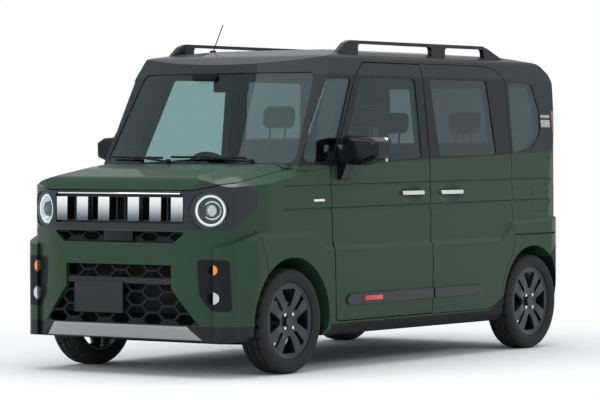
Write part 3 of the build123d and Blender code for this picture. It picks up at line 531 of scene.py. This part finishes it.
tyre_master = make_tyre()
nut_master = make_nut()
DISC = [(0.004, 0.075), (0.004, 0.118), (-0.012, 0.118), (-0.012, 0.075), (0.004, 0.075)]
CAP = [(0.060, 0.0001), (0.0595, 0.020), (0.057, 0.0285), (0.050, 0.0300), (0.040, 0.0300)]
for body, side, y, x in WHEELS:
    hub = (side * x, y, TYRE_R)
    name = body[6:]
    tyre = copy_of(tyre_master, hub)
    dress(tyre, "tread_" + name, body, "rubber", ["tyre_" + name])
    nuts = []
    for k in range(4):
        angle = math.radians(90 * k + 45)
        across = NUT_RING_R * math.cos(angle)
        place = (side * (x + 0.0525), y + across, TYRE_R + NUT_RING_R * math.sin(angle))
        nuts.append(copy_of(nut_master, place))
    dress(joined(nuts), "wheel_nuts_" + name, body, "chrome")
    disc = turned([(a * side, r) for a, r in DISC], hub)
    dress(disc, "brake_disc_" + name, body, "steel")
    cap = turned([((a + 0.0045) * side, r) for a, r in CAP], hub, 32)
    dress(cap, "hub_cap_" + name, body, "cap_metal")
for master in (tyre_master, nut_master):
    bpy.data.objects.remove(master)


# ---------------------------------------------------------------- lamps and face
LAMP = (0.556, -1.612, 0.877)
LAMP_TURN = math.radians(23)


def lamp_part(profile, material, name, steps=56):
    """Turned part of the headlamp, facing forward and a little outward, on both sides."""
    obj = turned(profile, (0, 0, 0), steps, "Y")
    obj.rotation_euler = (0, 0, LAMP_TURN)
    obj.location = LAMP
    settle(obj)
    other = copy_of(obj, flip=True)
    return dress(joined([obj, other]), name, "root", material)


lamp_part(
    [
        (0.030, 0.001), (0.030, 0.050), (0.012, 0.066), (-0.004, 0.078), (-0.004, 0.083),
        (0.036, 0.083), (0.036, 0.001),
    ],
    "chrome", "lamp_bowls",
)
lamp_part(
    [
        (0.0295, 0.0305), (0.000, 0.0315), (-0.004, 0.0345), (-0.004, 0.0385), (0.004, 0.0405),
        (0.0295, 0.043), (0.0295, 0.0305),
    ],
    "gloss_black", "projector_rings",
)
lamp_part(
    [(0.028, 0.030), (0.010, 0.030), (-0.002, 0.024), (-0.008, 0.013), (-0.010, 0.001)],
    "lens", "projector_lenses",
)
lamp_part(
    [(-0.002, 0.070), (-0.009, 0.0715), (-0.010, 0.0745), (-0.009, 0.0775), (-0.002, 0.079), (-0.002, 0.070)],
    "white_light", "light_rings",
)

# Radiator behind the grille and the mesh
radiator = bar((0, -1.600, 0.640), (1.02, 0.030, 0.62), 0.004)
dress(radiator, "radiator", "root", "chassis")

# Plain strip over the bars and plain cover in the middle mesh
strip = bar((0, -1.6880, 0.9655), (0.83, 0.010, 0.007), 0.002)
dress(strip, "grille_top_strip", "root", "chrome")
cover = bar((0, -1.6850, 0.7480), (0.196, 0.016, 0.070), 0.004)
dress(cover, "sensor_cover", "root", "gloss_black")

# Fender strip, kept plain, and side reflectors on the mouldings
for side, tag in SIDES:
    plain = bar((side * 0.7225, -0.866, 0.921), (0.006, 0.100, 0.013), 0.002)
    dress(plain, "fender_strip_" + tag, "root", "chrome")
    lens = bar((side * 0.7475, -0.380, 0.3775), (0.0045, 0.170, 0.026), 0.0015)
    dress(lens, "side_reflector_" + tag, "door_" + tag + "_body", "red")

# Mirror glasses
for side, tag in SIDES:
    glass = bar((side * 0.862, -0.5600, 1.192), (0.200, 0.003, 0.130), 0.0012)
    dress(glass, "mirror_glass_" + tag, "door_" + tag + "_body", "mirror")


# ---------------------------------------------------------------- wipers
def before_screen(x, z, gap):
    """Point a little in front of the bowed and raked windscreen."""
    y = -1.010 + 0.59 * (z - 1.080) - (0.092 - x * x / 5.0)
    return (x, y - gap, z)


def wiper(name, pivot, tip_x, from_x, to_x):
    """Arm, rubber blade and spindle cap, lying along the foot of the windscreen."""
    arm = swept([pivot, before_screen(tip_x, 1.156, 0.026)], 0.006)
    xs = [from_x + (to_x - from_x) * k / 6 for k in range(7)]
    blade = swept([before_screen(x, 1.150 + 0.010 * abs(x - from_x), 0.014) for x in xs], 0.0065, 8)
    rest()
    bpy.ops.mesh.primitive_cylinder_add(vertices=20, radius=0.014, depth=0.03, location=pivot)
    boss = bpy.context.object
    settle(boss)
    soften(boss, 0.003)
    dress(joined([arm, blade, boss]), name, "root", "plastic")


wiper("wiper_left", (0.42, -1.066, 1.128), 0.11, 0.37, -0.13)
wiper("wiper_right", (-0.13, -1.095, 1.128), -0.39, -0.19, -0.60)

# ---------------------------------------------------------------- seats
SEAT_VOXEL = 0.013
PAD_CAP = 0.014
HIP = (0.110, 0.690)
SEAT_PADS = (
    # name, centre y and z from the hip, size, lean, fill
    ("cushion", -0.275, -0.070, (0.440, 0.520, 0.115), 0.0, 0.7),
    ("back", -0.002, 0.300, (0.420, 0.080, 0.570), -0.145, 0.7),
    ("head", 0.072, 0.692, (0.215, 0.070, 0.130), -0.145, 0.8),
)


def pad(obj):
    """Cushion swollen by a short cloth run; no point moves further than the cap."""
    modify(obj, "REMESH", mode="VOXEL", voxel_size=SEAT_VOXEL)
    before = [vertex.co.copy() for vertex in obj.data.vertices]
    cloth = obj.modifiers.new("swell", "CLOTH")
    cloth.settings.use_pressure = True
    cloth.settings.uniform_pressure_force = 4.0
    cloth.settings.effector_weights.gravity = 0.0
    for step in range(1, 21):
        scene.frame_set(step)
    pick(obj)
    bpy.ops.object.modifier_apply(modifier="swell")
    for vertex, start in zip(obj.data.vertices, before):
        move = vertex.co - start
        if move.length > PAD_CAP:
            vertex.co = start + move * (PAD_CAP / move.length)
    scene.frame_set(1)
    modify(obj, "SUBSURF", levels=1)
    smooth(obj, 60)


seat_masters = []
for name, y, z, size, lean, fill in SEAT_PADS:
    piece = bar((0, HIP[0] + y, HIP[1] + z), size, 0.030, 4, (lean, 0, 0))
    pad(piece)
    seat_masters.append((name, piece, fill))
for row, x, shift_y, shift_z, node in (
    ("front", 0.305, 0.0, 0.0, "front_seats"),
    ("rear", 0.262, 1.140, -0.030, "rear_seat"),
):
    for name, master, fill in seat_masters:
        both = [copy_of(master, (side * x, shift_y, shift_z)) for side in (1, -1)]
        piece = dress(joined(both), f"{row}_{name}_pads", "root", "cloth", [node])
    frames = []
    for side in (1, -1):
        seat_y = HIP[0] + shift_y
        seat_z = HIP[1] + shift_z
        frames.append(bar((side * x, seat_y - 0.265, 0.445), (0.360, 0.420, 0.220), 0.015))
        for post in (-0.055, 0.055):
            low = (side * x + post, seat_y + 0.050, seat_z + 0.560)
            frames.append(swept([low, (low[0], low[1] + 0.018, low[2] + 0.110)], 0.006))
    dress(joined(frames), f"{row}_seat_frames", "root", "interior", [node])
for _, master, _ in seat_masters:
    bpy.data.objects.remove(master)

# Light strips on the rear pillars and a high stop lamp
for side, tag in SIDES:
    strips = [
        bar((side * 0.6925, 1.540, 1.388), (0.006, 0.105, 0.018), 0.002, 2, (0, -0.1 * side, 0)),
        bar((side * 0.6965, 1.540, 1.345), (0.006, 0.105, 0.045), 0.002, 2, (0, -0.1 * side, 0)),
    ]
    dress(joined(strips), "rear_pillar_strips_" + tag, "root", "silver")
stop_lamp = bar((0, 1.6480, 1.632), (0.300, 0.014, 0.016), 0.003)
dress(stop_lamp, "high_stop_lamp", "tailgate_body", "red")

# Bezels round the four bumper lamps
POD_LAMPS = ((0.568, 0.027), (0.421, 0.033))
BEZEL = ((-0.001, 0), (-0.001, 0.007), (0.012, 0.010), (0.012, 0), (-0.001, 0))
for side, tag in SIDES:
    rings = []
    for z, radius in POD_LAMPS:
        profile = [(along, radius + rise) for along, rise in BEZEL]
        bezel = turned(profile, (0, 0, 0), 40, "Y")
        bezel.rotation_euler = (0, 0, side * 0.42)
        bezel.location = (side * 0.599, -1.6555, z)
        settle(bezel)
        rings.append(bezel)
    dress(joined(rings), "lamp_bezels_" + tag, "root", "gloss_black")

# Camera box and cabin mirror behind the windscreen
housing = bar((-0.10, -0.775, 1.600), (0.150, 0.100, 0.045), 0.012, 3)
dress(housing, "screen_camera_box", "root", "interior")
cabin_mirror = bar((-0.02, -0.665, 1.545), (0.240, 0.022, 0.062), 0.010, 3)
stem = swept([(-0.02, -0.665, 1.56), (-0.02, -0.720, 1.612)], 0.008)
dress(joined([cabin_mirror, stem]), "cabin_mirror", "root", "interior")


# ---------------------------------------------------------------- floor, light and camera
def studio_floor():
    """Pale floor that keeps the shadow and turns plain white away from the car."""
    material = shader("studio_floor_finish", (0.90, 0.90, 0.90), rough=0.9, spec=0.1)
    tree = material.node_tree
    x, y, z = axes(material)
    far = maths(material, maths(material, x, x, "MULTIPLY"), maths(material, y, y, "MULTIPLY"), "ADD")
    ramp = add_node(material, "ShaderNodeMapRange", interpolation_type="SMOOTHSTEP")
    ramp.inputs["From Min"].default_value = 2.0
    ramp.inputs["From Max"].default_value = 14.0
    join(material, far, ramp.inputs["Value"])
    seen = maths(material, ramp.outputs["Result"], background_rays(tree), "MULTIPLY")
    white = add_node(material, "ShaderNodeEmission")
    white.inputs["Strength"].default_value = 1.0
    mix = add_node(material, "ShaderNodeMixShader")
    join(material, seen, mix.inputs[0])
    join(material, tree.nodes["Principled BSDF"].outputs[0], mix.inputs[1])
    join(material, white.outputs[0], mix.inputs[2])
    join(material, mix.outputs[0], tree.nodes["Material Output"].inputs["Surface"])
    return material


rest()
bpy.ops.mesh.primitive_plane_add(size=60, location=(0, 0, 0))
floor = bpy.context.object
floor.name = "studio_floor"
floor.data.materials.append(studio_floor())

world = bpy.data.worlds.new("studio")
scene.world = world
world.use_nodes = True
tree = world.node_tree
tree.nodes.clear()
soft = tree.nodes.new("ShaderNodeBackground")
soft.inputs["Color"].default_value = (0.93, 0.96, 1.0, 1)
soft.inputs["Strength"].default_value = 0.62
white = tree.nodes.new("ShaderNodeBackground")
white.inputs["Color"].default_value = (1, 1, 1, 1)
white.inputs["Strength"].default_value = 1.0
mix = tree.nodes.new("ShaderNodeMixShader")
out = tree.nodes.new("ShaderNodeOutputWorld")
tree.links.new(background_rays(tree), mix.inputs[0])
tree.links.new(soft.outputs[0], mix.inputs[1])
tree.links.new(white.outputs[0], mix.inputs[2])
tree.links.new(mix.outputs[0], out.inputs[0])


def soft_box(name, place, aim, size, power):
    rest()
    bpy.ops.object.light_add(type="AREA", location=place)
    lamp = bpy.context.object
    lamp.name = name
    lamp.data.shape = "RECTANGLE"
    lamp.data.size, lamp.data.size_y = size
    lamp.data.energy = power
    direction = Vector(aim) - Vector(place)
    lamp.rotation_euler = direction.to_track_quat("-Z", "Y").to_euler()


soft_box("overhead", (0, 0, 6.0), (0, 0, 0), (5, 9), 260)
soft_box("key", (8.5, -1.5, 5.2), (0.6, 0, 0.9), (7, 2.5), 160)
soft_box("front", (-3.0, -8.5, 3.4), (0, -1.0, 0.8), (5, 2.5), 150)

camera_data = bpy.data.cameras.new("camera")
camera = bpy.data.objects.new("camera", camera_data)
scene.collection.objects.link(camera)
camera_data.sensor_width = 36.0
camera_data.lens = 2982.3 / 600 * 36.0
camera_data.clip_end = 200
right = Vector((0.81335, 0.58177, -0.00231))
up = Vector((-0.00874, 0.01618, 0.99983))
back = -Vector((-0.58171, 0.81319, -0.01824))
rows = [(right[k], up[k], back[k], place) for k, place in enumerate((9.9843, -13.9914, 1.2157))]
camera.matrix_world = Matrix(rows + [(0, 0, 0, 1)])
scene.camera = camera
scene.view_settings.view_transform = "Standard"
